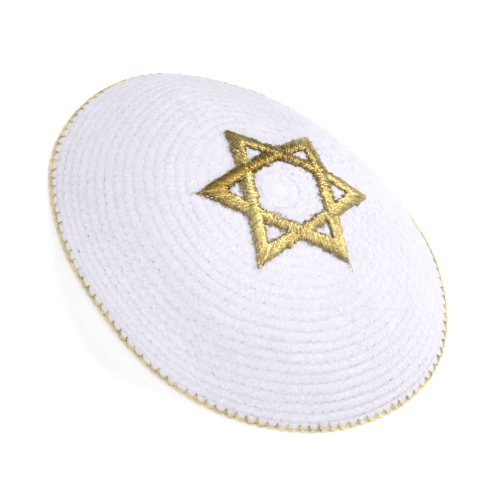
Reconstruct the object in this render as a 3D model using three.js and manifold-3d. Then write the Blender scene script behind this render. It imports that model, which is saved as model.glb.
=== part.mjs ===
// A knitted kippah: one white cap crocheted in rounds from the crown to the rim, a gold six-pointed
// star embroidered on the crown, and a gold thread edging worked over the rim. It lies on its rim,
// with the hollow for the head open underneath. Millimetres, +Z up, -Y towards the viewer.

import * as THREE from 'three';
import { mergeVertices } from 'three/addons/utils/BufferGeometryUtils.js';
import Module from 'manifold-3d';

const wasm = await Module();
wasm.setup();

// The cap
const RIM_ACROSS = 170;
const CROWN_RISE = 47;
const WALL = 2.3;
const RIDGE = 0.5;
const ROUNDS = 24;
const FIRST_ROUND = 0.8;
const LAST_ROUND = 0.7;

// The edging
const EDGE_THREAD = 0.9;
const EDGE_UNDER = 1.7;
const EDGE_PITCH = 4.1;
const STITCH_RISE = 2.4;
const STITCH_THICK = 0.7;

// The star
const STAR_REACH = 37.2;
const STAR_BAND = 4.6;
const STAR_CORNER = 5.0;
const STAR_EDGE = 0.45;
const STAR_CROWN = 1.0;
const STAR_LIFT = 0.45;
const STAR_SHIFT = { x: 3.1, y: 4.1 };
const OVER_AT = 0.667;
const OVER_HALF = 0.13;

// Gap between neighbouring pieces
const CLEARANCE = 0.3;

// How finely each piece is faceted
const CAP_FACETS = 60;
const LINING_ROWS = 9;
const MERIDIAN_STEPS = 240;
const STAR_STATIONS = 11;
const RIM_STEPS = 720;
const SLOPE_PROBE = 0.5;

// The cap's form, a row for each section round it. reach is a share of half RIM_ACROSS, from the
// crown's axis to the rim. Height over the rim is CROWN_RISE * (1 - t ** crown) ** side, where t runs
// from 0 on the axis to 1 at the rim: a larger crown is flatter on top, a smaller side is steeper
// at the rim.
const SECTIONS = [
  { toward: 0, reach: 1.1, crown: 1.85, side: 1.0 },
  { toward: 30, reach: 1.04, crown: 1.88, side: 0.93 },
  { toward: 60, reach: 0.935, crown: 2.2, side: 0.92 },
  { toward: 90, reach: 0.93, crown: 2.25, side: 0.98 },
  { toward: 120, reach: 0.995, crown: 1.92, side: 0.89 },
  { toward: 150, reach: 1.09, crown: 1.86, side: 0.75 },
  { toward: 180, reach: 1.05, crown: 2.27, side: 0.97 },
  { toward: 210, reach: 0.91, crown: 2.82, side: 0.67 },
  { toward: 240, reach: 0.822, crown: 3.2, side: 0.46 },
  { toward: 270, reach: 0.85, crown: 3.2, side: 0.46 },
  { toward: 300, reach: 0.925, crown: 2.8, side: 0.85 },
  { toward: 330, reach: 1.025, crown: 2.26, side: 1.0 },
];

// The star's tips in turn, counter-clockwise, with reach as a share of STAR_REACH from its centre.
// The side that goes from each tip to the next but one has its own bow outwards and its own width in
// the middle, both as shares of STAR_BAND.
const STAR_TIPS = [
  { toward: 40, reach: 1.0, bow: -0.28, middle: 0.96 },
  { toward: 98, reach: 0.895, bow: 0.2, middle: 1.11 },
  { toward: 161, reach: 0.965, bow: 0.17, middle: 1.15 },
  { toward: 220, reach: 1.025, bow: 0.65, middle: 1.05 },
  { toward: 278, reach: 1.053, bow: 0.16, middle: 0.91 },
  { toward: 343, reach: 0.97, bow: 0.0, middle: 1.35 },
];

// Each edging stitch, along its pitch: rise is a share of STITCH_RISE
const STITCH_FORM = [
  { along: 0.0, rise: 0.0 },
  { along: 0.22, rise: 1.0 },
  { along: 0.62, rise: 0.0 },
];

const TURN = 2 * Math.PI;
const rimLevel = EDGE_THREAD + CLEARANCE;

// Value of one column of the sections at any angle, on a smooth curve through the rows
function column(name, angle) {
  const count = SECTIONS.length;
  const place = (((angle / TURN) * count) % count + count) % count;
  const row = Math.floor(place);
  const f = place - row;
  const [a, b, c, d] = [-1, 0, 1, 2].map((k) => SECTIONS[(row + k + count) % count][name]);
  const bend = 2 * a - 5 * b + 4 * c - d;
  const twist = 3 * b - a - 3 * c + d;
  return 0.5 * (2 * b + (c - a) * f + bend * f * f + twist * f * f * f);
}

function rimRadius(angle) {
  return (RIM_ACROSS / 2) * column('reach', angle);
}

function heightAt(t, angle) {
  const open = Math.max(0, 1 - t ** column('crown', angle));
  return rimLevel + CROWN_RISE * open ** column('side', angle);
}

// One section from the crown to the rim, as points with their distance along it. The steps close up
// towards the rim, where the side may stand upright.
function meridian(angle) {
  const points = [];
  let length = 0;
  for (let i = 0; i <= MERIDIAN_STEPS; i++) {
    const t = 1 - (1 - i / MERIDIAN_STEPS) ** 3;
    const r = rimRadius(angle) * t;
    const z = heightAt(t, angle);
    const last = points[points.length - 1];
    if (last) length += Math.hypot(r - last.r, z - last.z);
    points.push({ r, z, length });
  }
  return { angle, points, length };
}

// The point a given distance from the crown along a section, with its outward normal
function onMeridian(line, distance) {
  const { points } = line;
  let i = 1;
  while (i < points.length - 1 && points[i].length < distance) i++;
  const [from, to] = [points[i - 1], points[i]];
  const f = (distance - from.length) / (to.length - from.length);
  const r = THREE.MathUtils.lerp(from.r, to.r, f);
  const z = THREE.MathUtils.lerp(from.z, to.z, f);
  const run = to.r - from.r;
  const drop = from.z - to.z;
  const size = Math.hypot(run, drop);
  return { r, z, outward: drop / size, upward: run / size };
}

function polar(r, angle, z) {
  return new THREE.Vector3(r * Math.cos(angle), r * Math.sin(angle), z);
}

// Point of a section at a distance from the crown, moved off the cap's outer face by offset
function offMeridian(line, distance, offset) {
  const at = onMeridian(line, distance);
  return polar(at.r + offset * at.outward, line.angle, at.z + offset * at.upward);
}

// Closed mesh from loops of points. Each loop joins the next, quad by quad.
class Shell {
  constructor() {
    this.positions = [];
    this.index = [];
  }

  add(point) {
    this.positions.push(point.x, point.y, point.z);
    return this.positions.length / 3 - 1;
  }

  loop(points) {
    return points.map((point) => this.add(point));
  }

  band(lower, upper) {
    lower.forEach((a, i) => {
      const next = (i + 1) % lower.length;
      this.index.push(a, lower[next], upper[next], a, upper[next], upper[i]);
    });
  }

  fan(centre, ring, facingUp) {
    ring.forEach((a, i) => {
      const b = ring[(i + 1) % ring.length];
      if (facingUp) this.index.push(centre, a, b);
      else this.index.push(centre, b, a);
    });
  }

  geometry() {
    const geometry = new THREE.BufferGeometry();
    geometry.setAttribute('position', new THREE.Float32BufferAttribute(this.positions, 3));
    geometry.setIndex(this.index);
    return mergeVertices(geometry);
  }
}

// Distances along a section, as shares of it: the groove under each round and the round's ridge
function roundShares() {
  const total = ROUNDS - 2 + FIRST_ROUND + LAST_ROUND;
  const rows = [];
  let below = 0;
  for (let round = 0; round < ROUNDS; round++) {
    const tall = round === 0 ? FIRST_ROUND : round === ROUNDS - 1 ? LAST_ROUND : 1;
    rows.push({ share: (below + tall / 2) / total, offset: 0 });
    below += tall;
    rows.push({ share: below / total, offset: -RIDGE });
  }
  rows[rows.length - 1].offset = 0;
  return rows;
}

// The cap: ridged rounds outside, a smooth face inside, a flat edge underneath
function knittedCap() {
  const shell = new Shell();
  const lines = [];
  for (let i = 0; i < CAP_FACETS; i++) lines.push(meridian((i / CAP_FACETS) * TURN));
  const outer = roundShares().map(({ share, offset }) =>
    shell.loop(lines.map((line) => offMeridian(line, share * line.length, offset))));
  const inner = [];
  for (let i = 1; i < LINING_ROWS; i++) {
    const share = i / LINING_ROWS;
    inner.push(shell.loop(lines.map((line) => offMeridian(line, share * line.length, -WALL))));
  }
  inner.push(shell.loop(lines.map((line) => {
    const { outward } = onMeridian(line, line.length - WALL);
    return polar(rimRadius(line.angle) - WALL / outward, line.angle, rimLevel);
  })));
  const top = shell.add(new THREE.Vector3(0, 0, rimLevel + CROWN_RISE));
  const under = shell.add(new THREE.Vector3(0, 0, rimLevel + CROWN_RISE - WALL));
  shell.fan(top, outer[0], true);
  for (let i = 1; i < outer.length; i++) shell.band(outer[i], outer[i - 1]);
  shell.band(inner[inner.length - 1], outer[outer.length - 1]);
  for (let i = 1; i < inner.length; i++) shell.band(inner[i - 1], inner[i]);
  shell.fan(under, inner[0], false);
  return shell.geometry();
}

// Length of the rim's outline, and the angle at a share of it
function rimTable() {
  const table = [{ angle: 0, length: 0 }];
  let last = polar(rimRadius(0), 0, 0);
  for (let i = 1; i <= RIM_STEPS; i++) {
    const angle = (i / RIM_STEPS) * TURN;
    const point = polar(rimRadius(angle), angle, 0);
    table.push({ angle, length: table[i - 1].length + point.distanceTo(last) });
    last = point;
  }
  return table;
}

function angleAtLength(table, length) {
  let i = 1;
  while (i < table.length - 1 && table[i].length < length) i++;
  const [from, to] = [table[i - 1], table[i]];
  const f = (length - from.length) / (to.length - from.length);
  return THREE.MathUtils.lerp(from.angle, to.angle, f);
}

// The edging: a thread under the rim with a pointed stitch up the outer face at every pitch
function edgeTrim() {
  const shell = new Shell();
  const table = rimTable();
  const round = table[table.length - 1].length;
  const stitches = Math.round(round / EDGE_PITCH);
  const corners = [[], [], [], [], []];
  for (let stitch = 0; stitch < stitches; stitch++) {
    for (const { along, rise } of STITCH_FORM) {
      const angle = angleAtLength(table, ((stitch + along) / stitches) * round);
      const line = meridian(angle);
      const rim = rimRadius(angle);
      const tip = CLEARANCE + rise * STITCH_RISE;
      const outside = CLEARANCE + STITCH_THICK;
      corners[0].push(polar(rim - EDGE_UNDER, angle, 0));
      corners[1].push(polar(rim + outside, angle, 0));
      corners[2].push(offMeridian(line, line.length - tip, outside));
      corners[3].push(polar(rim + CLEARANCE, angle, EDGE_THREAD));
      corners[4].push(polar(rim - EDGE_UNDER, angle, EDGE_THREAD));
    }
  }
  const loops = corners.map((points) => shell.loop(points));
  loops.forEach((loop, i) => shell.band(loop, loops[(i + 1) % loops.length]));
  return shell.geometry();
}

// Point over the cap at a place in plan, raised along the face's normal
function overCap(x, y, raise) {
  const level = (px, py) => {
    const angle = Math.atan2(py, px);
    return heightAt(Math.hypot(px, py) / rimRadius(angle), angle);
  };
  const slopeX = (level(x + SLOPE_PROBE, y) - level(x - SLOPE_PROBE, y)) / (2 * SLOPE_PROBE);
  const slopeY = (level(x, y + SLOPE_PROBE) - level(x, y - SLOPE_PROBE)) / (2 * SLOPE_PROBE);
  const normal = new THREE.Vector3(-slopeX, -slopeY, 1).normalize();
  return new THREE.Vector3(x, y, level(x, y)).addScaledVector(normal, raise);
}

function tipPlace({ toward, reach }) {
  const angle = THREE.MathUtils.degToRad(toward);
  return new THREE.Vector2(
    STAR_SHIFT.x + STAR_REACH * reach * Math.cos(angle),
    STAR_SHIFT.y + STAR_REACH * reach * Math.sin(angle),
  );
}

// Corners of a triangle moved in from its sides by a distance
function insetTriangle(corners, distance) {
  return corners.map((corner, i) => {
    const toNext = corners[(i + 1) % 3].clone().sub(corner).normalize();
    const toLast = corners[(i + 2) % 3].clone().sub(corner).normalize();
    const half = Math.acos(toNext.dot(toLast)) / 2;
    const inward = toNext.clone().add(toLast).normalize();
    return corner.clone().addScaledVector(inward, distance / Math.sin(half));
  });
}

// How far a band rises to pass over another: each side lies flat at its first crossing and is over
// at its second
function weave(share) {
  const off = Math.min(1, Math.abs(share - OVER_AT) / OVER_HALF);
  return STAR_LIFT * 0.5 * (1 + Math.cos(Math.PI * off));
}

// One triangle of the star: three bands with mitred tips, laid over the crown
function starTriangle(tips) {
  const shell = new Shell();
  const section = [
    { across: 0, raise: 0 },
    { across: 1, raise: 0 },
    { across: 1, raise: STAR_EDGE },
    { across: 0.5, raise: STAR_CROWN },
    { across: 0, raise: STAR_EDGE },
  ];
  const loops = section.map(({ across, raise }) => {
    const triangle = insetTriangle(tips.map(tipPlace), across * STAR_CORNER);
    const points = [];
    triangle.forEach((corner, side) => {
      const next = triangle[(side + 1) % 3];
      const along = next.clone().sub(corner).normalize();
      const outward = new THREE.Vector2(along.y, -along.x);
      const { bow, middle } = tips[side];
      const bulge = bow * STAR_BAND - across * (middle * STAR_BAND - STAR_CORNER);
      for (let i = 0; i < STAR_STATIONS; i++) {
        const share = i / STAR_STATIONS;
        const place = corner.clone().lerp(next, share);
        place.addScaledVector(outward, bulge * 4 * share * (1 - share));
        points.push(overCap(place.x, place.y, CLEARANCE + raise + weave(share)));
      }
    });
    return shell.loop(points);
  });
  loops.forEach((loop, i) => shell.band(loops[(i + 1) % loops.length], loop));
  return shell.geometry();
}

function toSolid(geometry) {
  const vertProperties = Float32Array.from(geometry.attributes.position.array);
  const triVerts = Uint32Array.from(geometry.index.array);
  return new wasm.Manifold(new wasm.Mesh({ numProp: 3, vertProperties, triVerts }));
}

function toGeometry(solid) {
  const mesh = solid.getMesh();
  const geometry = new THREE.BufferGeometry();
  geometry.setAttribute('position', new THREE.Float32BufferAttribute(mesh.vertProperties, 3));
  geometry.setIndex(Array.from(mesh.triVerts));
  return geometry;
}

// The star: two triangles that pass over and under each other, stitched as one
function starEmbroidery() {
  const one = toSolid(starTriangle([STAR_TIPS[0], STAR_TIPS[2], STAR_TIPS[4]]));
  const other = toSolid(starTriangle([STAR_TIPS[1], STAR_TIPS[3], STAR_TIPS[5]]));
  return toGeometry(one.add(other));
}

function piece(name, geometry, material) {
  const mesh = new THREE.Mesh(geometry, material);
  mesh.name = name;
  return mesh;
}

const whiteYarn = new THREE.MeshStandardMaterial({ color: 0xece9f4, roughness: 0.9, metalness: 0 });
const goldThread = new THREE.MeshStandardMaterial({ color: 0xb8962e, roughness: 0.4, metalness: 0.6 });

const kippah = new THREE.Group();
kippah.add(piece('knitted_cap', knittedCap(), whiteYarn));
kippah.add(piece('edge_trim', edgeTrim(), goldThread));
kippah.add(piece('star_embroidery', starEmbroidery(), goldThread));

// The origin is under the middle of the outline, on the surface that the cap rests on
const box = new THREE.Box3().setFromObject(kippah);
kippah.position.set(-(box.min.x + box.max.x) / 2, -(box.min.y + box.max.y) / 2, 0);
kippah.updateMatrixWorld(true);

export default kippah;
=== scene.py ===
import bpy
import numpy as np
from mathutils import Matrix, Vector


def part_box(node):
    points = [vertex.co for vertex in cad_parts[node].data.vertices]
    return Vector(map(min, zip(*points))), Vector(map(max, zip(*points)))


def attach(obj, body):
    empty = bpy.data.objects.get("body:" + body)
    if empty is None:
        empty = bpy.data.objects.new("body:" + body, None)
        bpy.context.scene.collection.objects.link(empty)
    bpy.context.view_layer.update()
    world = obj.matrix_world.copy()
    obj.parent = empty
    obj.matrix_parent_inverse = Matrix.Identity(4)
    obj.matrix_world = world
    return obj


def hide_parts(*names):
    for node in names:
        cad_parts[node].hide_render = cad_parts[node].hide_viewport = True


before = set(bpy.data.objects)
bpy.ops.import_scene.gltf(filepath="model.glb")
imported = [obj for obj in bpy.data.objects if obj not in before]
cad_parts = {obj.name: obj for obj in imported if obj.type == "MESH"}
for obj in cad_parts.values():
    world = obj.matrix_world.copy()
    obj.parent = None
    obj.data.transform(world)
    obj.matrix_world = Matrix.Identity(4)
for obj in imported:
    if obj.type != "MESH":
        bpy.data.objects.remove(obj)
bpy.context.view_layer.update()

bl_info = {
    "name": "Knitted kippah",
    "version": (1, 0, 0),
    "blender": (4, 5, 0),
    "location": "View3D > Sidebar > Kippah",
    "description": "Crochets the cap, stitches the star and works the edging over the frame's solids",
    "category": "Object",
}

TURN = 2 * np.pi

# The cap's form at sections every 30 degrees round it: reach is a share of half the rim's width, and the
# height over the rim is crown_rise * (1 - t ** crown) ** side, with t from 0 on the axis to 1 at the rim
SECTIONS = {
    "reach": (1.1, 1.04, 0.935, 0.93, 0.995, 1.09, 1.05, 0.91, 0.822, 0.85, 0.925, 1.025),
    "crown": (1.85, 1.88, 2.2, 2.25, 1.92, 1.86, 2.27, 2.82, 3.2, 3.2, 2.8, 2.26),
    "side": (1.0, 0.93, 0.92, 0.98, 0.89, 0.75, 0.97, 0.67, 0.46, 0.46, 0.85, 1.0),
}

# The star's tips in turn, counter-clockwise, with reach as a share of the star's own reach. The side
# from each tip to the next but one has its bow outwards and its width in the middle in band widths, and
# how much darker its thread is painted at its start, at half its length and at its end: painted shade
# where the satin catches no highlight.
STAR_TIPS = {
    "toward": (40, 98, 161, 220, 278, 343),
    "reach": (1.0, 0.895, 0.965, 1.025, 1.053, 0.97),
    "bow": (-0.28, 0.2, 0.17, 0.65, 0.16, 0.0),
    "middle": (0.96, 1.11, 1.15, 1.05, 0.91, 1.22),
    "start": (-0.15, 0.1, 0.35, 0.45, 0.0, -0.1),
    "half": (0.45, 0.75, -0.15, -0.15, -0.05, 0.05),
    "end": (-0.05, 0.7, -0.15, 0.0, -0.2, 0.2),
}

# The rope of a round from its groove towards the crown to its groove towards the rim: its depth under
# the face in metres, and how far each stitch's two legs of yarn stand from its middle in stitch widths
ROPE = {
    "down": (-0.03, 0.05, 0.14, 0.26, 0.4, 0.54, 0.68, 0.79, 0.88, 0.95, 1.02),
    "depth": (0.00043, 0.00035, 0.00024, 0.00011, 0.00003, 0.0, 0.00005, 0.00014, 0.00026, 0.00036, 0.00045),
    "sway": (0.09, 0.11, 0.14, 0.18, 0.215, 0.24, 0.255, 0.26, 0.26, 0.25, 0.24),
}

# One satin stitch across a band of the star: raise is a share of the band's height, and the last column
# is painted shade that darkens its ends where they dip into the knit
SATIN = {
    "across": (0.0, 0.05, 0.17, 0.5, 0.83, 0.95, 1.0),
    "raise": (-0.4, 0.5, 0.88, 1.0, 0.88, 0.5, -0.4),
    "sunk_shade": (0.6, 0.1, 0.0, 0.0, 0.0, 0.1, 0.6),
}

# Thread ends that stand loose of the satin: where they leave it in the plan, which way they lie in
# degrees, how long they are in metres and how far they bend in degrees
LOOSE_ENDS = {
    "x": (0.0393, 0.0385, 0.0377, 0.0088, 0.008, -0.0262, 0.017, 0.0168, 0.0175),
    "y": (-0.0066, -0.0064, -0.0055, -0.0344, -0.0338, -0.0206, 0.012, 0.0103, 0.0083),
    "toward": (300, 318, 285, 290, 262, 205, 196, 215, 188),
    "length": (0.0022, 0.0018, 0.0016, 0.0021, 0.0017, 0.0024, 0.0034, 0.0024, 0.0021),
    "bend": (40, -50, 30, 45, -40, 20, 55, -35, 40),
}

# One stitch of the edging as lengths of thread. Along is in pitches from the stitch's apex, up is the
# way up the outer face from the knit's edge (down towards the surface below 0) in rises of a stitch, out
# is the distance off the face in metres, and the last column is painted shade that darkens the thread
# where it goes into the knit.
EDGE_OUTER = {
    "along": (0.0, 0.0, 0.07, 0.15, 0.28, 0.48, 0.7, 0.86, 0.98),
    "up": (0.98, 0.96, 0.6, 0.18, -0.06, -0.2, -0.2, -0.08, 0.04),
    "out": (-0.0009, 0.00015, 0.0003, 0.0004, 0.0006, 0.0008, 0.0008, 0.0005, 0.0001),
    "sunk_shade": (1.0, 0.8, 0.6, 0.35, 0.0, 0.0, 0.0, 0.1, 0.6),
}
EDGE_INNER = {
    "along": (-0.8, -0.6, -0.38, -0.16, -0.07, -0.02, 0.0),
    "up": (-0.02, -0.02, -0.02, 0.1, 0.55, 0.92, 0.98),
    "out": (0.0002, 0.0003, 0.0003, 0.0003, 0.0003, 0.0002, -0.0009),
    "sunk_shade": (0.3, 0.0, 0.0, 0.3, 0.6, 0.8, 1.0),
}
EDGE_UNDER = {
    "along": (0.24, 0.2, 0.14, 0.08, 0.02, 0.0),
    "up": (0.0, -0.32, -0.42, -0.42, -0.3, 0.25),
    "out": (0.0003, -0.0001, -0.0008, -0.0016, -0.0024, -0.0026),
    "sunk_shade": (0.2, 0.2, 0.2, 0.2, 0.5, 0.9),
}
EDGE_RETURN = {
    "along": (-0.82, -0.55, -0.25, 0.06),
    "up": (-0.3, -0.4, -0.4, -0.28),
    "out": (-0.0003, -0.0007, -0.0007, -0.0003),
    "sunk_shade": (0.4, 0.3, 0.3, 0.5),
}
# The edging's four lengths of thread, with the stations along each
EDGE_THREADS = ((EDGE_OUTER, 17), (EDGE_INNER, 13), (EDGE_UNDER, 11), (EDGE_RETURN, 7))
# How uneven it is, in pitches and in shares of a stitch's reach
EDGE_UNEVEN = {"pitch": 0.05, "reach": 0.09}
# How deep in metres it follows the face before it turns in under the knit, and its least height over the
# surface in widths of the thread
EDGE_TURNS_IN = 0.0012
EDGE_LOWEST = 0.55

# The first round of each piece of the outer face, and of the next piece
ROUND_PIECES = {"crown_rounds": (0, 13), "middle_rounds": (13, 19), "rim_rounds": (19, None)}
FEWEST_STITCHES = 6
# Points of the outer face across one stitch
STITCH_COLUMNS = 14

# The relief of a stitch, in stitch widths and heights of a round: half the width of a leg and of the swell
# into the groove above, the hole at its foot, which leans, and the faint hollow over it
LEG_HALF = 0.15
SWELL_HALF = 0.22
LEAN_BEND = 1.3
HOLE = {"down": 0.93, "tall": 0.075, "across": 0.09, "lean": 0.35, "upright": 0.92}
HOLLOW = {"down": -0.02, "tall": 0.08, "deep": 0.2}
GROOVE_SWING = 0.025
# Waves of a groove round the cap, how far they turn from groove to groove, and how high they are
GROOVE_WAVES = ((3, 2.4, 0.6), (7, 4.1, 0.5), (19, 1.3, 0.4))
# How single stitches differ: the spread of their legs, the depth of their hole, and height in metres
PLUMP_SPREAD = 0.06
PIT = {"mean": 0.7, "spread": 0.5, "most": 1.8}
LOFT_SPREAD = 0.00005
# The relief at the crown, what it gains by the rim and the bend of that. The rope is whole only some
# rounds down. Narrow stitches keep a part of their creases and holes.
ROPE_GROWTH = (0.43, 0.78, 2)
HOLE_GROWTH = (0.22, 0.8, 1.5)
FIRST_ROPE = 0.3
ROPE_ROUNDS = 3
LEAST_ROOM = 0.1
# The share of the last round from which its relief runs out towards the rim
RIM_EASE = {"from": 0.6, "over": 0.3}
# The depths in metres at which painted shade begins to darken the yarn and over which it grows to full,
# and how far rounds lie apart in the noise
SHADE_DEPTH = {"from": 0.00035, "over": 0.0011}
ROUND_OFFSET = 37

# A bar of yarn behind a stitch, in metres, and in shares of a stitch, of a round or of the way down, with
# the painted shade that darkens its ends
BAR = {"wide": 0.0027, "high": 0.0011, "dip": 0.0004, "spread": 0.00004, "lowest": 0.0018}
BAR_SHARES = {"reach": 0.52, "bow": 0.10, "farthest": 0.997, "sunk_shade": 0.4}
# The closed layer between the faces: its points, its margin as a share, its depths in metres
CORE = {"around": 144, "down": 48, "margin": 0.002, "depths": (0.0012, 0.0015)}

# Where along a side of the star its band passes over another, and how high all satin lies off the knit
OVER = {"at": 0.667, "half": 0.13, "knit": 0.00018}
# How satin stitches vary: in clumps of a length in metres and singly, by how much. Slant is in metres,
# place in shares of a side, and their ends stray in shares of ragged.
UNEVEN = {
    "slant": {"length": 0.003, "clumps": 0.0005},
    "ends": {"length": 0.001, "clumps": 0.6, "single": 0.9},
    "height": {"length": 0.0016, "clumps": 0.04, "single": 0.07},
    "tone": {"length": 0.0012, "clumps": 0.16, "single": 0.2},
    "place": {"single": 0.0022},
}
STRAY = {"mean": 0.3, "loose": 1.8, "kept": 0.96}
# The satin thread's height as a share of its width
FLATTENED = 0.8
# How high a loose end lies at its end, more at its start and in its arch, and its part of the thread
LOOSE_LIE = {"end": 0.0003, "start": 0.0005, "arch": 0.0004, "thin": 0.7}

# The dark fleck caught in the knit near the rim: its ends by share of the way down and degrees round,
# their depth, and the sums of distances to both between which it fades
FLECK_ENDS = {"down": (0.931, 0.917), "toward": (220.0, 221.5)}
FLECK_DEPTH = 0.00025
FLECK_EDGE = (0.00262, 0.00282)
# Distances from the crown over which the yarn's fibres turn from even to slanted
CROWN_FADE = (0.0005, 0.0055)

FLOOR_HALF = 1.6
ROOM_LIGHT = 0.35
LIGHTS_AIM = (0.0, 0.0, 0.02)
# Each light's place, width and power
LIGHTS = {
    "top_light": ((0.2, 0.0, 1.6), 0.9, 6.5),
    "right_light": ((0.86, 0.56, 0.8), 0.4, 4.4),
    "back_light": ((0.15, 1.0, 1.1), 0.5, 8.8),
    "near_light": ((-0.85, -1.05, 0.55), 0.5, 8.2),
    "front_light": ((0.9, -0.7, 0.8), 0.4, 3.0),
}
# The photograph's view: its aim, distance, steepness and roll, and its lens in widths of the sensor
VIEW = {"aim": (0.0007, -0.0014, 0.0012), "distance": 0.6728, "steep": 54.05, "roll": 31.26, "lens": 3.234}


def number(name, description, default, **looks):
    return bpy.props.FloatProperty(name=name, description=description, default=default, min=0.0, **looks)


def size(*about):
    """A length that the panel shows, kept in metres."""
    return number(*about, precision=5, unit="LENGTH", subtype="DISTANCE")


def share(*about):
    """A plain number from 0 up."""
    return number(*about, subtype="FACTOR")


def count(name, description, default):
    return bpy.props.IntProperty(name=name, description=description, default=default, min=1)


def colour(name, description, default):
    """A linear colour."""
    return bpy.props.FloatVectorProperty(
        name=name, description=description, default=default, size=3, min=0.0, max=1.0, subtype="COLOR"
    )


class KippahCapSizes(bpy.types.PropertyGroup):
    rim_across: size("Rim across", "Mean width of the rim", 0.17)
    crown_rise: size("Crown rise", "Height of the crown over the rim", 0.047)
    rim_level: size("Rim level", "Height of the knit's lower edge over the surface", 0.0012)
    wall: size("Wall", "Thickness of the crocheted wall", 0.0023)
    rounds: count("Rounds", "Crochet rounds from the crown to the rim", 24)
    first_round: share("First round", "Height of the first round in whole rounds", 0.8)
    last_round: share("Last round", "Height of the last round in whole rounds", 0.7)
    stitch: size("Stitch", "Width of a crochet stitch", 0.0040)
    crease: size("Crease", "Depth of the crease between two legs of yarn", 0.00015)
    hole: size("Hole", "Depth of the small hole at the foot of each stitch", 0.00055)
    fluff: size("Fluff", "How far loose fibres lift the yarn's surface", 0.00006)
    slant: share("Slant", "How far each round is shifted from the round before, in stitches", 0.12)
    wander: share("Wander", "How far the grooves leave their even course, in heights of a round", 0.05)


class KippahStarSizes(bpy.types.PropertyGroup):
    reach: size("Reach", "Mean distance from the star's centre to a tip", 0.0372)
    band: size("Band", "Width of a satin band", 0.0046)
    corner: size("Corner", "Width of the bands at the tips", 0.0050)
    height: size("Height", "Height of a band's middle over the knit", 0.0011)
    lift: size("Lift", "Extra height where a band passes over another", 0.00045)
    shift_x: size("Shift to the right", "From the crown's axis to the star's centre", 0.0031)
    shift_y: size("Shift to the back", "From the crown's axis to the star's centre", 0.0041)
    thread: size("Thread", "Width of the embroidery thread", 0.00038)
    spacing: size("Spacing", "Distance between neighbouring satin stitches", 0.00031)
    slant: size("Slant", "How far each stitch's inner end is ahead of its outer end", 0.0009)
    ragged: size("Ragged", "How far the stitches' ends leave the bands' edges", 0.00048)


class KippahEdgeSizes(bpy.types.PropertyGroup):
    pitch: size("Pitch", "Distance between edging stitches along the rim", 0.0044)
    rise: size("Rise", "How far each stitch reaches up the outer face", 0.0023)
    thread: size("Thread", "Width of the gold thread", 0.00043)


class KippahColours(bpy.types.PropertyGroup):
    yarn: colour("Yarn", "White cotton yarn", (0.88, 0.86, 0.94))
    # This colour is painted shade: the white yarn darkened where it lies in grooves and holes, and in the
    # layer inside
    yarn_shaded: colour("Shaded yarn", "White yarn in grooves and holes", (0.64, 0.62, 0.70))
    # The gold in the light and the deep gold are lit and shaded copies of one thread: the deep one is
    # painted shade, and the edging's gold mixes with the same painted shade
    gold: colour("Gold", "Gold thread in the light", (0.74, 0.62, 0.29))
    gold_shaded: colour("Shaded gold", "Gold thread between other threads", (0.29, 0.168, 0.016))
    edging: colour("Edging", "The edging's gold thread in the light", (0.93, 0.79, 0.36))
    fleck: colour("Fleck", "The dark fleck caught in the knit near the rim", (0.09, 0.09, 0.08))
    floor: colour("Floor", "The surface under the cap", (0.98, 0.98, 0.98))


def column(name, angles):
    """A column of the sections at any angles, on a smooth curve through the rows."""
    rows = np.array(SECTIONS[name])
    place = np.mod(np.asarray(angles) / TURN * len(rows), len(rows))
    row = np.floor(place).astype(int)
    return smooth([rows[(row + k) % len(rows)] for k in (-1, 0, 1, 2)], place - row)


def smooth(four, f):
    """A smooth curve from the second to the third of four values in turn."""
    a, b, c, d = four
    return 0.5 * (2 * b + (c - a) * f + (2 * a - 5 * b + 4 * c - d) * f**2 + (3 * b - a - 3 * c + d) * f**3)


def path(table, name, stations):
    """A column of a thread's path on a smooth curve through its values, at evenly spread stations."""
    values = np.array(table[name])
    place = np.linspace(0, len(values) - 1, stations)
    row = np.minimum(place.astype(int), len(values) - 2)
    values = np.concatenate([2 * values[:1] - values[1:2], values, 2 * values[-1:] - values[-2:-1]])
    return smooth([values[row + k] for k in range(4)], place - row)


def unit(vectors):
    return vectors / np.maximum(np.linalg.norm(vectors, axis=-1, keepdims=True), 1e-12)


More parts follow.
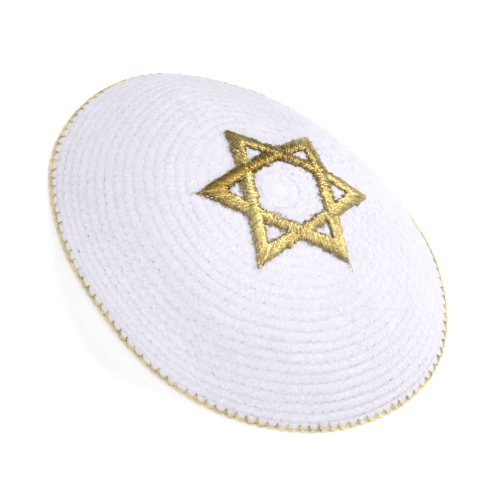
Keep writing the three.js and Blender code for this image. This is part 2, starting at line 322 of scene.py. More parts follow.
class CapForm:
    """The cap's outer face: places and outward normals by share of a section and by angle."""

    ANGLES = 720
    SHARES = 480
    STEPS = 320
    TOLERANCE = 0.001

    def __init__(self, sizes):
        self.sizes = sizes
        angles = np.linspace(0, TURN, self.ANGLES + 1)
        t = 1 - (1 - np.linspace(0, 1, self.STEPS + 1)) ** 3  # closer together towards the rim
        radius = self.rim_radius(angles)[:, None] * t
        level = self.level(t[None, :], angles[:, None])
        steps = np.hypot(np.diff(radius, axis=1), np.diff(level, axis=1))
        lengths = np.concatenate([np.zeros((len(angles), 1)), np.cumsum(steps, axis=1)], axis=1)
        self.length = lengths[:, -1]
        wanted = np.linspace(0, 1, self.SHARES + 1)
        self.radii = np.array([np.interp(wanted, row / row[-1], r) for row, r in zip(lengths, radius)])
        levels = np.array([np.interp(wanted, row / row[-1], z) for row, z in zip(lengths, level)])
        self.angles = angles
        x, y = self.radii * np.cos(angles)[:, None], self.radii * np.sin(angles)[:, None]
        places = np.stack([x, y, levels], axis=-1)
        low, high = np.array(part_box("knitted_cap"))[:, :2]
        rim = places[:, -1, :2]
        least, most = rim.min(axis=0), rim.max(axis=0)
        self.shift = np.array([*(low + high - least - most) / 2, 0.0])
        if np.abs(most - least - (high - low)).max() > self.TOLERANCE:
            raise RuntimeError("The sections don't give the frame's cap: fit them to its solid first")
        self.places = places
        down = np.gradient(places, axis=1)
        around = np.concatenate([places[1:] - places[:-1], places[1:2] - places[0:1]], axis=0)
        around = around + np.concatenate([around[-2:-1], around[:-1]], axis=0)
        normals = unit(np.cross(down, around))
        normals[:, 0] = (0.0, 0.0, 1.0)
        self.normals = normals

    def rim_radius(self, angles):
        return self.sizes.rim_across / 2 * column("reach", angles)

    def level(self, t, angles):
        rise = np.maximum(0.0, 1 - np.maximum(t, 0.0) ** column("crown", angles)) ** column("side", angles)
        return self.sizes.rim_level + self.sizes.crown_rise * rise

    def _look(self, table, shares, angles):
        """Values of a table between its rows and columns."""
        shares = np.clip(shares, 0, 1) * self.SHARES
        turns = np.mod(angles / TURN, 1) * self.ANGLES
        shares, turns = np.broadcast_arrays(shares, turns)
        i = np.minimum(turns.astype(int), self.ANGLES - 1)
        j = np.minimum(shares.astype(int), self.SHARES - 1)
        f = (turns - i)[..., None]
        g = (shares - j)[..., None]
        near = table[i, j] * (1 - g) + table[i, j + 1] * g
        far = table[i + 1, j] * (1 - g) + table[i + 1, j + 1] * g
        return near * (1 - f) + far * f

    def radius(self, shares, angles):
        return self._look(self.radii[..., None], shares, angles)[..., 0]

    def normal(self, shares, angles):
        return unit(self._look(self.normals, shares, angles))

    def at(self, shares, angles, raised=0.0):
        """Places moved off the face along its normal."""
        places = self._look(self.places, shares, angles) + self.shift
        return places + self.normal(shares, angles) * np.asarray(raised)[..., None]

    def over(self, x, y):
        """Places and normals of the face over points of the plan, measured from the crown's axis."""
        probe = 0.0004

        def level(px, py):
            angles = np.arctan2(py, px)
            return self.level(np.hypot(px, py) / self.rim_radius(angles), angles)

        slope_x = (level(x + probe, y) - level(x - probe, y)) / (2 * probe)
        slope_y = (level(x, y + probe) - level(x, y - probe)) / (2 * probe)
        normals = unit(np.stack([-slope_x, -slope_y, np.ones_like(slope_x)], axis=-1))
        return np.stack([x, y, level(x, y)], axis=-1) + self.shift, normals

    def round_at(self, share_down, turns):
        """Angles at shares of the length of the loop that lies a share of the way down the cap."""
        loop = self._look(self.places, share_down, self.angles[:-1])
        steps = np.linalg.norm(np.roll(loop, -1, axis=0) - loop, axis=1)
        length = np.concatenate([[0.0], np.cumsum(steps)])
        whole = np.floor(turns)
        return np.interp(turns - whole, length / length[-1], self.angles) + whole * TURN, length[-1]


def columns(table, *names):
    """Columns of a table as arrays."""
    return [np.array(table[name], float) for name in names]


def corner_uvs(u0, u1, v0, v1):
    """Where on the thread the four corners of each quad lie."""
    corners = [np.stack(pair, -1) for pair in ((u0, v0), (u0, v1), (u1, v1), (u1, v0))]
    return np.stack(corners, -2).reshape(-1, 4, 2)


class Gathered:
    """Parts of one mesh of quads, with their places on the thread and a value of each kind per point."""

    SHAPES = {"points": (-1, 3), "quads": (-1, 4), "uv": (-1, 4, 2)}

    def __init__(self):
        self.total = 0
        self.parts = {}

    def gather(self, **parts):
        for name, part in parts.items():
            self.parts.setdefault(name, []).append(part.reshape(self.SHAPES.get(name, -1)))
        self.total += len(self.parts["points"][-1])

    def make(self, name, material):
        whole = {key: np.concatenate(parts) for key, parts in self.parts.items()}
        return mesh_object(name, whole.pop("points"), whole.pop("quads"), material, whole.pop("uv"), whole)


class Threads(Gathered):
    """Many short threads as one mesh. Each is a tube with closed ends along its own centreline."""

    SIDES = 6

    def add(self, centres, ups, wide, high, tone, depth=0.0):
        """centres and ups are (thread, station, 3); wide and high are whole widths and heights; depth is
        painted shade.
        """
        threads, stations = centres.shape[:2]
        along = unit(np.gradient(centres, axis=1))
        side = unit(np.cross(along, ups))
        up = np.cross(side, along)
        turn = ((np.arange(self.SIDES) + 0.5) / self.SIDES * TURN)[:, None]
        side = side[:, :, None] * wide / 2 * np.cos(turn)
        up = up[:, :, None] * high / 2 * np.sin(turn)
        station = self.SIDES * np.arange(stations - 1)[:, None]
        corner = np.arange(self.SIDES)
        start = self.total + np.arange(threads) * stations * self.SIDES
        a = start[:, None, None] + station + corner
        b = start[:, None, None] + station + (corner + 1) % self.SIDES
        quads = [np.stack([a, a + self.SIDES, b + self.SIDES, b], axis=-1).reshape(-1, 4)]
        steps = np.linalg.norm(np.diff(centres, axis=1), axis=-1)
        length = np.concatenate([np.zeros((threads, 1)), np.cumsum(steps, axis=1)], axis=1)[..., None]
        u0, v0, v1 = np.broadcast_arrays(corner / self.SIDES, length[:, :-1], length[:, 1:])
        uvs = [corner_uvs(u0, u0 + 1 / self.SIDES, v0, v1)]
        for end, order in ((0, 1), ((stations - 1) * self.SIDES, -1)):
            for k in range(1, self.SIDES - 2, 2):
                corners = [0, k, k + 1, k + 2][::order]
                quads.append(np.stack([start + end + each for each in corners], axis=-1))
                uvs.append(np.zeros((threads, 4, 2)))
        shape = (threads, stations, self.SIDES)
        self.gather(
            points=centres[:, :, None] + side + up,
            quads=np.concatenate(quads),
            uv=np.concatenate(uvs),
            tone=np.broadcast_to(tone.reshape(tone.shape + (1,) * (3 - tone.ndim)), shape),
            depth=np.broadcast_to(np.atleast_2d(depth)[..., None], shape),
        )


def add_object(name, data):
    made = bpy.data.objects.new(name, data)
    bpy.context.scene.collection.objects.link(made)
    return made


def ring_quads(rows, width, first=0):
    """Quads between rows of points that each run round the cap, from a first point on."""
    corner = np.arange(width)
    after = (corner + 1) % width
    a = first + np.arange(rows - 1)[:, None] * width
    return np.stack([a + corner, a + width + corner, a + width + after, a + after], axis=-1).reshape(-1, 4)


def mesh_object(name, points, quads, material, uv=None, values=None):
    """A smooth mesh of quads, with one value of each kind per point."""

    def fill(data, field, numbers, kind=np.float32):
        data.foreach_set(field, np.ascontiguousarray(numbers, kind).ravel())

    mesh = bpy.data.meshes.new(name)
    mesh.vertices.add(len(points))
    mesh.loops.add(quads.size)
    mesh.polygons.add(len(quads))
    fill(mesh.vertices, "co", points)
    fill(mesh.loops, "vertex_index", quads, np.int32)
    fill(mesh.polygons, "loop_start", np.arange(0, quads.size, 4), np.int32)
    mesh.update(calc_edges=True)
    fill(mesh.polygons, "use_smooth", np.ones(len(quads)), bool)
    if uv is not None:
        fill(mesh.uv_layers.new(name="thread").data, "uv", uv)
    for key, numbers in (values or {}).items():
        fill(mesh.attributes.new(key, "FLOAT", "POINT").data, "value", numbers)
    mesh.materials.append(material)
    mesh.validate()
    return add_object(name, mesh)


def place_piece(made, node):
    """Hands a made piece to the frame: it rides on the body and stands for its solid."""
    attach(made, "root")
    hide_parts(node)


class Shade:
    """One output of a shader node, with arithmetic that adds the nodes it needs."""

    def __init__(self, tree, out=None):
        self.tree = tree
        self.out = out

    def node(self, kind, settings=None, inputs=None, output=0):
        """Adds a node: its settings first, then values or links for its inputs by name or number."""
        made = self.tree.nodes.new(kind)
        for key, value in (settings or {}).items():
            setattr(made, key, value)
        for key, value in (inputs or {}).items():
            if isinstance(value, Shade):
                self.tree.links.new(value.out, made.inputs[key])
            else:
                made.inputs[key].default_value = value
        return Shade(self.tree, made.outputs[output])

    def maths(self, operation, *values):
        return self.node("ShaderNodeMath", {"operation": operation}, dict(enumerate(values)))

    def vector(self, operation, other, output=0):
        """Vector maths with three numbers. What comes out as one number is output 1."""
        inputs = {0: self, 1: tuple(other)}
        return self.node("ShaderNodeVectorMath", {"operation": operation}, inputs, output)

    def mix(self, low, high):
        """A colour from low to high, by this value."""
        inputs = {"Factor": self, 6: colour_of(low), 7: colour_of(high)}
        return self.node("ShaderNodeMix", {"data_type": "RGBA"}, inputs, output=2)

    def spread(self, low=0.0, high=1.0, out_low=0.0, out_high=1.0):
        """This value from one range to another, held inside it."""
        return self.node("ShaderNodeMapRange", {}, {0: self, 1: low, 2: high, 3: out_low, 4: out_high})

    def noise(self, scale, detail=3.0, roughness=0.55):
        inputs = {"Vector": self, "Scale": scale, "Detail": detail, "Roughness": roughness}
        return self.node("ShaderNodeTexNoise", {}, inputs)

    def bump(self, strength, relief):
        """A normal from this height, of which 1 stands for relief in metres."""
        return self.node("ShaderNodeBump", {}, {"Strength": strength, "Distance": relief, "Height": self})

    def wave(self):
        """A sine wave, once for each 1 of this value."""
        return self.maths("SINE", self * TURN)

    def swing(self, amount):
        """How far this value is from a half, times an amount."""
        return (self - 0.5) * amount

    def __add__(self, other):
        return self.maths("ADD", self, other)

    def __radd__(self, other):
        return self.maths("ADD", other, self)

    def __sub__(self, other):
        return self.maths("SUBTRACT", self, other)

    def __rsub__(self, other):
        return self.maths("SUBTRACT", other, self)

    def __mul__(self, other):
        return self.maths("MULTIPLY", self, other)

    def __rmul__(self, other):
        return self.maths("MULTIPLY", other, self)


def colour_of(value):
    """A colour input: a link as it is, or three numbers with an alpha of 1."""
    return value if isinstance(value, Shade) else (*value, 1.0)


def dimmed(value, part):
    """A colour with a part of its light."""
    return tuple(part * each for each in value)


def new_material(name, constants):
    """A material whose even values are set directly on its shader, and the place on the object."""
    material = bpy.data.materials.new(name)
    material.use_nodes = True
    tree = material.node_tree
    for key, value in constants.items():
        tree.nodes["Principled BSDF"].inputs[key].default_value = value
    return material, Shade(tree).node("ShaderNodeTexCoord", output=3)


def dress(material, colour, roughness, normal=None, metallic=None):
    """Links what varies to a material's shader."""
    tree = material.node_tree
    inputs = tree.nodes["Principled BSDF"].inputs
    links = {"Base Color": colour, "Roughness": roughness, "Normal": normal, "Metallic": metallic}
    for key, value in links.items():
        if value:
            tree.links.new(value.out, inputs[key])
    return material


def attribute(place, name):
    return place.node("ShaderNodeAttribute", {"attribute_name": name}, output=2)


def thread_values(place):
    """Round the thread in turns, along it in metres, its tone, and its painted shade by how deep it lies,
    from 0 to 1.
    """
    uv = place.node("ShaderNodeUVMap", {"uv_map": "thread"})
    around, along = (uv.node("ShaderNodeSeparateXYZ", {}, {0: uv}, axis) for axis in (0, 1))
    return around, along, attribute(place, "tone"), attribute(place, "depth")


def wound(around, along, strands, per_metre):
    """A wave over strands that wind round a thread so many times in a metre."""
    return (around * strands + along * per_metre).wave()


def yarn_material(colours):
    """Matt cotton yarn of a few plies, with fibres."""
    material, place = new_material("white_cotton_yarn", {"Sheen Weight": 0.15, "Sheen Roughness": 0.5})
    around, along, tone, depth = thread_values(place)
    plies = wound(around, along, strands=3, per_metre=260)
    strands = wound(around, along, strands=11, per_metre=900)
    fibres = place.noise(2600.0)
    patches = place.noise(60.0)
    # Painted shade by how deep the yarn lies, with random tone from fibres, bars and patches
    dark = depth * 0.85 + fibres.swing(0.16) + tone.swing(0.12) + patches.swing(0.12)
    height = plies * 0.5 + strands * 0.12 + fibres * 0.5
    white = dark.spread().mix(colours.yarn, colours.yarn_shaded)
    return dress(material, white, fibres * 0.12 + 0.82, height.bump(strength=0.7, relief=0.00012))


def face_material(colours):
    """The same yarn as the outer face shows it: soft fluff, and fibres that slant along the legs of the
    stitches but lie evenly at the crown, where the stitches narrow to a point."""
    material, place = new_material("knitted_cotton_face", {"Sheen Weight": 0.2, "Sheen Roughness": 0.5})
    around, along, tone, depth = thread_values(place)
    form = built_form()
    fluff = place.noise(1100.0, detail=4.0, roughness=0.7)
    patches = place.noise(70.0)
    off_crown = place.vector("DISTANCE", form.at(0.0, 0.0), output=1).spread(*CROWN_FADE)
    slanted = {0: around * 6.4 + along * 900, 1: along * 450, 2: around * 0.7}
    slanted = place.node("ShaderNodeCombineXYZ", {}, slanted)
    level = place.vector("MULTIPLY", (1500.0, 600.0, 600.0))
    on_legs, on_crown = (fibres.noise(1.0, detail=2.0, roughness=0.6) for fibres in (slanted, level))
    strokes = on_legs * off_crown + on_crown * (1 - off_crown)
    twist = (attribute(place, "strand") * 13 + along * 420 + fluff * 0.5).wave() * off_crown
    # Painted shade by how deep the yarn lies, with random tone from fluff, fibre strokes, stitches and
    # patches
    dark = depth * 0.9 + fluff.swing(1.0) + strokes.swing(0.8) + tone.swing(0.1) + patches.swing(0.12)
    white = (dark - twist * 0.02 + 0.12).spread().mix(colours.yarn, colours.yarn_shaded)
    down, toward = columns(FLECK_ENDS, "down", "toward")
    ends = form.at(down, np.radians(toward), -FLECK_DEPTH)
    near, far = (place.vector("DISTANCE", end, output=1) for end in ends)
    fleck = (near + far + fluff * 0.0003).spread(*FLECK_EDGE, out_low=0.9, out_high=0.0)
    height = fluff * 1.2 + twist * 0.12 + strokes * 0.9
    normal = height.bump(strength=1.0, relief=0.0003)
    return dress(material, fleck.mix(white, colours.fleck), fluff * 0.12 + 0.82, normal)


def ground_material(colours):
    """The yarn deep between the stitches, darkened all over as painted shade for the holes that show it."""
    material, place = new_material("shaded_cotton_yarn", {"Sheen Weight": 0.1})
    fibres = place.noise(1800.0, detail=4.0)
    deep = fibres.mix(dimmed(colours.yarn_shaded, 0.75), colours.yarn_shaded)
    return dress(material, deep, fibres * 0.1 + 0.86, fibres.bump(strength=0.8, relief=0.0002))


def gold_thread(name, light, deep, dark, metallic, roughness, relief):
    """Shiny gold thread: a metal strip wound round a core, with painted glints and painted shade along it.
    """
    material, place = new_material(name, {})
    around, along, tone, depth = thread_values(place)
    winding = wound(around, along, strands=1, per_metre=2600)
    # Fine noise that paints glints into the colour, and also varies roughness and bump
    glint_noise = place.noise(1900.0, roughness=0.65)
    patches = place.noise(220.0, detail=2.0)
    # Painted shade where the thread is sunk and, by each band's tone, where the satin catches no highlight;
    # painted glints from the fine noise; a faint painted sheen along the winding; random tone from the
    # patches
    shade = depth * 0.8 + tone.swing(0.9) + glint_noise.swing(4.0) + patches.swing(0.5) + dark - winding * 0.06
    normal = (winding * 0.3 + glint_noise * 0.7).bump(strength=0.5, relief=relief)
    # light is the lit gold and deep its painted shade
    gold = shade.spread().mix(light, deep)
    return dress(material, gold, glint_noise * 0.3 + roughness, normal, patches * 0.2 + metallic)


def satin_material(colours):
    """The star's thread, which shines most."""
    looks = {"dark": 0.28, "metallic": 0.85, "roughness": 0.12, "relief": 0.00004}
    return gold_thread("gold_satin_thread", colours.gold, colours.gold_shaded, **looks)


def edging_material(colours):
    """The edging's thread, which is duller and paler."""
    looks = {"dark": 0.0, "metallic": 0.05, "roughness": 0.3, "relief": 0.00005}
    return gold_thread("gold_edging_thread", colours.edging, colours.gold_shaded, **looks)


def floor_material(colours):
    """Plain pale paper, with a very little light of its own."""
    glow = {"Emission Color": (1.0, 1.0, 1.0, 1.0), "Emission Strength": 0.06}
    material, place = new_material("pale_floor", glow)
    grain = place.noise(900.0, detail=2.0)
    pale = grain.mix(dimmed(colours.floor, 0.985), colours.floor)
    return dress(material, pale, grain * 0.1 + 0.8)


def made_once(name, maker):
    """A material by its name, made when it is first needed."""
    return bpy.data.materials.get(name) or maker(bpy.context.scene.kippah_colours)


def built_form():
    return CapForm(bpy.context.scene.kippah_cap)


def crochet_rounds(form, sizes):
    """For each round: its edges, the angles of its stitches' feet and heads, those of the heads with the
    neighbours at both ends, and the stitches' own widths."""
    heights = np.ones(sizes.rounds)
    heights[0] = sizes.first_round
    heights[-1] = sizes.last_round
    edges = np.concatenate([[0.0], np.cumsum(heights)]) / heights.sum()
    holes = None
    rounds = []
    for k in range(sizes.rounds):
        low, high = edges[k], edges[k + 1]
        length = form.round_at((low + high) / 2, np.zeros(1))[1]
        stitches = max(FEWEST_STITCHES, int(round(length / sizes.stitch)))
        turns = (np.arange(stitches) + 0.5 + k * sizes.slant) / stitches
        head = form.round_at(high, turns)[0]
        foot = head.copy()
        if holes is not None:
            apart = np.angle(np.exp(1j * (holes[None, :] - head[:, None])))
            nearest = np.abs(apart).argmin(axis=1)
            foot = head + apart[np.arange(stitches), nearest]
        heads = np.concatenate([head[-1:] - TURN, head, head[:1] + TURN])
        row = {"low": low, "high": high, "foot": foot, "head": head, "heads": heads}
        rounds.append({**row, "step": (heads[2:] - heads[:-2]) / 2})
        holes = head
    return rounds


def wandering(angles, edge):
    """How far the groove at an edge of a round leaves its even course, about 1 in size."""
    return sum(high * np.sin(waves * angles + turned * edge) for waves, turned, high in GROOVE_WAVES)


def bell(distance, half):
    """A hump that is 1 in the middle and about a third at a half width."""
    return np.exp(-((distance / half) ** 2))


def stitch_relief(row, down, sway, across, plump, pit):
    """Over the points of a round, all in shares: how near a leg of yarn is, how far from the leg's middle
    it is met, how deep the holes are, and how far the round swells into the groove above it."""
    shift = (row["foot"] - row["head"]) / row["step"]
    down, sway = down[:, None], sway[:, None]
    top = (1 - np.clip(down, 0, 1)) ** LEAN_BEND
    legs, strand, pits, rise = np.zeros((4, len(down), len(shift) * STITCH_COLUMNS))
    for other in (-1, 0, 1):
        beside = [np.repeat(np.roll(values, -other), STITCH_COLUMNS) for values in (shift, plump, pit)]
        offset = np.tile(across - other, len(shift))
        leaning = offset - beside[0] * top
        for side in (-1, 1):
            from_leg = leaning - side * sway * beside[1]
            ridge = bell(from_leg, LEG_HALF)
            strand = np.where(ridge > legs, from_leg * side, strand)
            legs = np.maximum(legs, ridge)
        slanted = offset + HOLE["lean"] * (down - HOLE["upright"])
        hole = bell(slanted, HOLE["across"]) * bell(down - HOLE["down"], HOLE["tall"])
        above = bell(leaning, LEG_HALF) * bell(down - HOLLOW["down"], HOLLOW["tall"])
        pits = np.maximum(pits, np.maximum(beside[2] * hole, HOLLOW["deep"] * above))
        rise = np.maximum(rise, bell(leaning, SWELL_HALF))
    return legs, strand, pits, rise


def growing(down, at_crown, more, bend):
    """A relief at a share of the way down."""
    return at_crown + more * down**bend


def knit_piece(name, form, sizes, rounds, first, seed):
    """The outer face of some rounds: a rope of stitches each, with two legs of yarn that come out of
    the hole above, and a small hole between them at their foot."""
    chance = np.random.default_rng(seed)
    down, rope, sway = columns(ROPE, "down", "depth", "sway")
    across = np.arange(STITCH_COLUMNS) / STITCH_COLUMNS - 0.5
    blend = np.clip(down, 0, 1)[:, None]
    knit = Gathered()
    for k, row in enumerate(rounds, first):
        stitches = len(row["head"])
        width = stitches * STITCH_COLUMNS
        place = (np.arange(stitches)[:, None] + across).ravel()
        numbers = np.arange(-1, stitches + 1)
        angles = np.interp(place, numbers, row["heads"])
        plump = 1 + chance.normal(0.0, PLUMP_SPREAD, stitches)
        pit = np.clip(PIT["mean"] + chance.normal(0.0, PIT["spread"], stitches), 0.0, PIT["most"])
        loft = chance.normal(0.0, LOFT_SPREAD, stitches)
        legs, strand, pits, rise = stitch_relief(row, down, sway, across, plump, pit)
        lower = np.cos(TURN * np.tile(across, stitches))
        edge_low = GROOVE_SWING * (1 - 2 * rise) + sizes.wander * wandering(angles, k) * (k > 0)
        edge_high = -GROOVE_SWING * lower + sizes.wander * wandering(angles, k + 1) * (k + 1 < sizes.rounds)
        moved = down[:, None] + edge_low * (1 - blend) + edge_high * blend
        shares = row["low"] + (row["high"] - row["low"]) * moved
        lofts = np.interp(place, numbers, np.concatenate([loft[-1:], loft, loft[:1]]))
        rough = chance.normal(0.0, sizes.fluff, (len(down), width))
        room = form.radius(shares, angles) * np.repeat(row["step"], STITCH_COLUMNS) / sizes.stitch
        flat = growing(row["high"], *ROPE_GROWTH) * min(1.0, FIRST_ROPE + k / ROPE_ROUNDS)
        holes = growing(row["high"], *HOLE_GROWTH) * sizes.hole * pits
        deep = sizes.crease * (1 - legs) + holes + lofts + rough
        deep = flat * rope[:, None] + deep * np.clip(room, LEAST_ROOM, 1)
        if k + 1 == sizes.rounds:
            deep = deep * (1 - np.clip((down - RIM_EASE["from"]) / RIM_EASE["over"], 0, 1))[:, None]
        tall = (row["high"] - row["low"]) * form.length.mean() * down[:, None]
        u0, v0, v1 = np.broadcast_arrays(place + ROUND_OFFSET * k, tall[:-1], tall[1:])
        knit.gather(
            points=form.at(shares, angles, -deep),
            quads=ring_quads(len(down), width, knit.total),
            uv=corner_uvs(u0, u0 + 1 / STITCH_COLUMNS, v0, v1),
            tone=np.broadcast_to(np.repeat(chance.random(stitches), STITCH_COLUMNS), deep.shape),
            # Painted shade: the deeper the yarn lies, the darker it is coloured
            depth=np.clip((deep - SHADE_DEPTH["from"]) / SHADE_DEPTH["over"], 0, 1),
            strand=strand,
        )
    made = knit.make(name, made_once("knitted_cotton_face", face_material))
    place_piece(made, "knitted_cap")


class KIPPAH_OT_crochet(bpy.types.Operator):
    """Crochets the cap's outer face in rounds from the crown to the rim"""

    bl_idname = "kippah.crochet"
    bl_label = "Crochet the rounds"

    def execute(self, context):
        sizes = context.scene.kippah_cap
        form = built_form()
        rounds = crochet_rounds(form, sizes)
        for name, (first, last) in ROUND_PIECES.items():
            knit_piece(name, form, sizes, rounds[first:last], first, seed=11 + first)
        return {"FINISHED"}


class KIPPAH_OT_inside(bpy.types.Operator):
    """Makes the cap's inner face: a bar of yarn behind each stitch, and the fabric between the faces"""

    bl_idname = "kippah.inside"
    bl_label = "Make the inner face"

    def execute(self, context):
        sizes = context.scene.kippah_cap
        form = built_form()
        chance = np.random.default_rng(21)
        threads = Threads()
        between = np.linspace(-BAR_SHARES["reach"], BAR_SHARES["reach"], 5)
        bow = BAR_SHARES["bow"] * np.cos(between * np.pi)
        to_end = np.abs(2 * between) ** 2
        for row in crochet_rounds(form, sizes):
            stitches = len(row["head"])
            middle = (row["head"] + row["foot"]) / 2
            angles = middle[:, None] + between * row["step"][:, None]
            level = (row["low"] + row["high"]) / 2 + (row["high"] - row["low"]) * bow
            shares = np.minimum(level + np.zeros_like(angles), BAR_SHARES["farthest"])
            raised = BAR["high"] / 2 - sizes.wall + BAR["dip"] * to_end
            raised = raised + chance.normal(0.0, BAR["spread"], (stitches, 1))
            places = form.at(shares, angles, raised)
            places[..., 2] = np.maximum(places[..., 2], BAR["lowest"])
            inward = -form.normal(shares, angles)
            # Painted shade: the bar's ends are darker where they go into the knit
            sunk_shade = np.broadcast_to(to_end * BAR_SHARES["sunk_shade"], angles.shape)
            threads.add(places, inward, BAR["wide"], BAR["high"], chance.random(stitches), sunk_shade)
        made = threads.make("inner_bars", made_once("white_cotton_yarn", yarn_material))
        place_piece(made, "knitted_cap")
        self.ground(form)
        return {"FINISHED"}

    def ground(self, form):
        """A thin closed layer between the two faces, which the holes show, in yarn darkened as painted
        shade.
        """
        around, down = CORE["around"], CORE["down"]
        angles = np.arange(around) / around * TURN
        shares = np.linspace(CORE["margin"], 1 - CORE["margin"], down)[:, None]
        outer, inner = (form.at(shares, angles, np.full((down, around), -deep)) for deep in CORE["depths"])
        points = np.concatenate([outer, inner[::-1]]).reshape(-1, 3)
        quads = ring_quads(2 * down + 1, around) % len(points)
        made = mesh_object("fabric_core", points, quads, made_once("shaded_cotton_yarn", ground_material))
        place_piece(made, "knitted_cap")


def inset_triangle(corners, distance):
    """Corners moved in from the triangle's sides by a distance."""
    to_next = unit(np.roll(corners, -1, axis=0) - corners)
    to_last = unit(np.roll(corners, 1, axis=0) - corners)
    half = np.arccos((to_next * to_last).sum(axis=1, keepdims=True)) / 2
    return corners + unit(to_next + to_last) * distance / np.sin(half)


class KIPPAH_OT_star(bpy.types.Operator):
    """Stitches the six bands of the star in satin stitch, each over the next and under the last"""

    bl_idname = "kippah.star"
    bl_label = "Stitch the star"

    def execute(self, context):
        self.sizes = sizes = context.scene.kippah_star
        self.form = built_form()
        self.chance = np.random.default_rng(31)
        self.threads = Threads()
        reach, toward = columns(STAR_TIPS, "reach", "toward")
        way = np.stack([np.cos(np.radians(toward)), np.sin(np.radians(toward))], axis=-1)
        tips = (reach * sizes.reach)[:, None] * way + (sizes.shift_x, sizes.shift_y)
        for first in (0, 1):
            order = [first, first + 2, first + 4]
            for side in range(3):
                row = {name: values[order[side]] for name, values in STAR_TIPS.items()}
                self.band(tips[order], side, row)
        self.loose_ends()
        made = self.threads.make("star_satin", made_once("gold_satin_thread", satin_material))
        place_piece(made, "star_embroidery")
        return {"FINISHED"}

    def loose_ends(self):
        """Single threads that have come out of the satin and lie on the knit."""
        x, y, toward, length, bend = columns(LOOSE_ENDS, "x", "y", "toward", "length", "bend")
        steps = 6
        share_along = np.linspace(0, 1, steps + 1)
        turned = np.radians(toward[:, None] + bend[:, None] * share_along)
        step = length[:, None] / steps
        plan_x = x[:, None] + np.cumsum(step * np.cos(turned), axis=1)
        plan_y = y[:, None] + np.cumsum(step * np.sin(turned), axis=1)
        places, normals = self.form.over(plan_x, plan_y)
        raised = LOOSE_LIE["end"] + LOOSE_LIE["start"] * (1 - share_along)
        raised = raised + LOOSE_LIE["arch"] * np.sin(np.pi * share_along)
        places = places + normals * raised[:, None]
        thin = LOOSE_LIE["thin"] * self.sizes.thread
        self.threads.add(places, normals, thin, thin, np.linspace(0.2, 0.9, len(x)))

    def clumps(self, kind, stitches):
        """Smooth random values along a band."""
        clumps = max(4, int(stitches * self.sizes.spacing / UNEVEN[kind]["length"]) + 2)
        heights = self.chance.normal(0.0, 1.0, clumps)
        at = np.linspace(0, clumps - 1, stitches)
        return UNEVEN[kind]["clumps"] * np.interp(at, np.arange(clumps), heights)

    def singles(self, kind, shape):
        """Random values from stitch to stitch."""
        return self.chance.normal(0.0, UNEVEN[kind]["single"], shape)

    def edge(self, corners, side, row, across, at):
        """Places in plan along a band, from its outer edge at 0 to its inner edge at 1."""
        sizes = self.sizes
        triangle = inset_triangle(corners, across * sizes.corner)
        start, end = triangle[side], triangle[(side + 1) % 3]
        along = unit(end - start)
        outward = np.array([along[1], -along[0]])
        bulge = row["bow"] * sizes.band - across * (row["middle"] * sizes.band - sizes.corner)
        return start + (end - start) * at[:, None] + outward * (bulge * 4 * at * (1 - at))[:, None]

    def band(self, corners, side, row):
        """Satin stitches across one band, which passes over another at two thirds of its length."""
        sizes = self.sizes
        across, full, sunk_shade = columns(SATIN, "across", "raise", "sunk_shade")
        length = np.linalg.norm(corners[(side + 1) % 3] - corners[side])
        stitches = int(length / sizes.spacing)
        at = (np.arange(stitches) + 0.5) / stitches
        slant = (sizes.slant + self.clumps("slant", stitches)) / length / 2
        teeth = np.array([self.clumps("ends", stitches) for _ in range(2)])[..., None]
        loose = self.chance.random(teeth.shape) > STRAY["kept"]
        stray = STRAY["mean"] + teeth + self.singles("ends", teeth.shape) + STRAY["loose"] * loose
        ends = []
        for edge, lean in ((0.0, -slant), (1.0, slant)):
            along = np.clip(at + lean + self.singles("place", stitches), 0, 1)
            ends.append(self.edge(corners, side, row, edge, along))
        outer, inner = ends
        cross = unit(inner - outer)
        outer = outer - cross * sizes.ragged * stray[0]
        inner = inner + cross * sizes.ragged * stray[1]
        plan = outer[:, None] + (inner - outer)[:, None] * across[:, None]
        near = np.minimum(1.0, np.abs(at - OVER["at"]) / OVER["half"])
        lift = sizes.lift * 0.5 * (1 + np.cos(np.pi * near))
        height = sizes.height * (1 + self.clumps("height", stitches) + self.singles("height", stitches))
        raised = full * height[:, None] + lift[:, None] + OVER["knit"]
        places, normals = self.form.over(plan[..., 0], plan[..., 1])
        places = places + normals * raised[..., None]
        tone = np.clip(0.5 + self.clumps("tone", stitches) + self.singles("tone", stitches), 0, 1)
        # Painted shade: each band's thread darker along its length where the satin catches no highlight
        tone = tone + np.interp(at, (0.0, 0.5, 1.0), (row["start"], row["half"], row["end"]))
        # Painted shade at the stitch's ends where they dip into the knit
        sunk_shade = np.broadcast_to(sunk_shade, raised.shape)
        self.threads.add(places, normals, sizes.thread, FLATTENED * sizes.thread, tone, sunk_shade)


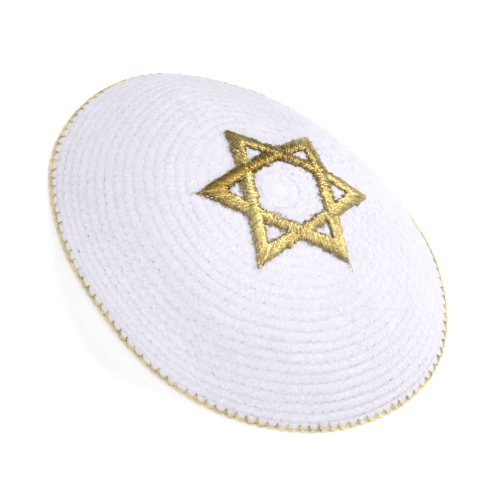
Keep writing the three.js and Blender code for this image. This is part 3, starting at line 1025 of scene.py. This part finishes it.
class KIPPAH_OT_edging(bpy.types.Operator):
    """Works the gold edging over the rim: a line along the edge and a pointed stitch at every pitch"""

    bl_idname = "kippah.edging"
    bl_label = "Work the edging"

    def execute(self, context):
        sizes = context.scene.kippah_edge
        form = built_form()
        chance = np.random.default_rng(41)
        threads = Threads()
        length = form.round_at(1.0, np.zeros(1))[1]
        stitches = int(round(length / sizes.pitch))
        start = np.arange(stitches)[:, None] + chance.normal(0, EDGE_UNEVEN["pitch"], (stitches, 1))
        reach = 1 + chance.normal(0, EDGE_UNEVEN["reach"], (stitches, 1))
        for table, stations in EDGE_THREADS:
            angles = form.round_at(1.0, (start + path(table, "along", stations)) / stitches)[0]
            section = np.interp(np.mod(angles, TURN), form.angles, form.length)
            up = path(table, "up", stations) * sizes.rise * reach
            out = path(table, "out", stations) * reach
            shares = 1 - np.maximum(up, 0) / section
            centres = form.at(shares, angles, np.maximum(out, -EDGE_TURNS_IN))
            away = np.stack([np.cos(angles), np.sin(angles), np.zeros_like(angles)], axis=-1)
            centres = centres + away * np.minimum(out + EDGE_TURNS_IN, 0)[..., None]
            centres[..., 2] = np.maximum(centres[..., 2] + np.minimum(up, 0), EDGE_LOWEST * sizes.thread)
            # Painted shade where the thread goes into the knit
            sunk_shade = np.broadcast_to(np.clip(path(table, "sunk_shade", stations), 0, 1), angles.shape)
            thread, ups = sizes.thread, form.normal(shares, angles)
            threads.add(centres, ups, thread, thread, chance.random(stitches), sunk_shade)
        made = threads.make("edging_threads", made_once("gold_edging_thread", edging_material))
        place_piece(made, "edge_trim")
        return {"FINISHED"}


def area_light(name, place, across, power):
    """A round light that looks at the cap."""
    light = bpy.data.lights.new(name, "AREA")
    light.shape = "DISK"
    light.size = across
    light.energy = power
    made = add_object(name, light)
    made.location = place
    made.rotation_euler = (Vector(LIGHTS_AIM) - Vector(place)).to_track_quat("-Z", "Y").to_euler()


class KIPPAH_OT_stage(bpy.types.Operator):
    """Sets the pale floor, the soft lights and the camera"""

    bl_idname = "kippah.stage"
    bl_label = "Set the stage"

    def execute(self, context):
        scene = context.scene
        corners = FLOOR_HALF * np.array([(-1, -1, 0), (1, -1, 0), (1, 1, 0), (-1, 1, 0)], float)
        paper = made_once("pale_floor", floor_material)
        floor = mesh_object("floor", corners, np.array([[0, 1, 2, 3]]), paper)
        world = bpy.data.worlds.new("soft_room")
        world.use_nodes = True
        background = world.node_tree.nodes["Background"]
        background.inputs["Color"].default_value = (1.0, 1.0, 1.0, 1.0)
        background.inputs["Strength"].default_value = ROOM_LIGHT
        scene.world = world
        for name, light in LIGHTS.items():
            area_light(name, *light)
        scene.view_settings.view_transform = "Standard"
        self.camera(scene)
        return {"FINISHED"}

    def camera(self, scene):
        """The camera at the photograph's angle, rolled about its own axis."""
        steep, roll = np.radians([VIEW["steep"], VIEW["roll"]])
        turn = Matrix.Rotation(np.pi / 2 - steep, 4, "X") @ Matrix.Rotation(roll, 4, "Z")
        away = turn @ Vector((0.0, 0.0, VIEW["distance"]))
        data = bpy.data.cameras.new("photo_camera")
        data.sensor_width = 36.0
        data.lens = data.sensor_width * VIEW["lens"]
        data.clip_start = 0.01
        scene.camera = add_object("photo_camera", data)
        scene.camera.matrix_world = Matrix.Translation(Vector(VIEW["aim"]) + away) @ turn


class KIPPAH_PT_panel(bpy.types.Panel):
    """Sizes, colours and steps of the kippah"""

    bl_idname = "KIPPAH_PT_panel"
    bl_label = "Kippah"
    bl_space_type = "VIEW_3D"
    bl_region_type = "UI"
    bl_category = "Kippah"

    def draw(self, context):
        for group, (_, title, operators) in GROUPS.items():
            box = self.layout.box()
            box.label(text=title)
            values = getattr(context.scene, group)
            for name in values.bl_rna.properties.keys():
                if name not in ("rna_type", "name"):
                    box.prop(values, name)
            for operator in operators:
                box.operator(operator)


# Each property group, its title in the panel and the operators under it
GROUPS = {
    "kippah_cap": (KippahCapSizes, "Cap", ("kippah.crochet", "kippah.inside")),
    "kippah_star": (KippahStarSizes, "Star", ("kippah.star",)),
    "kippah_edge": (KippahEdgeSizes, "Edging", ("kippah.edging",)),
    "kippah_colours": (KippahColours, "Colours", ("kippah.stage",)),
}

CLASSES = (
    *(group for group, _, _ in GROUPS.values()),
    KIPPAH_OT_crochet,
    KIPPAH_OT_inside,
    KIPPAH_OT_star,
    KIPPAH_OT_edging,
    KIPPAH_OT_stage,
    KIPPAH_PT_panel,
)


def register():
    for each in CLASSES:
        bpy.utils.register_class(each)
    for name, (group, _, _) in GROUPS.items():
        setattr(bpy.types.Scene, name, bpy.props.PointerProperty(type=group))


def unregister():
    for name in GROUPS:
        delattr(bpy.types.Scene, name)
    for each in reversed(CLASSES):
        bpy.utils.unregister_class(each)


def main():
    register()
    bpy.ops.kippah.crochet()
    bpy.ops.kippah.inside()
    bpy.ops.kippah.star()
    bpy.ops.kippah.edging()
    bpy.ops.kippah.stage()


if __name__ == "__main__":
    main()
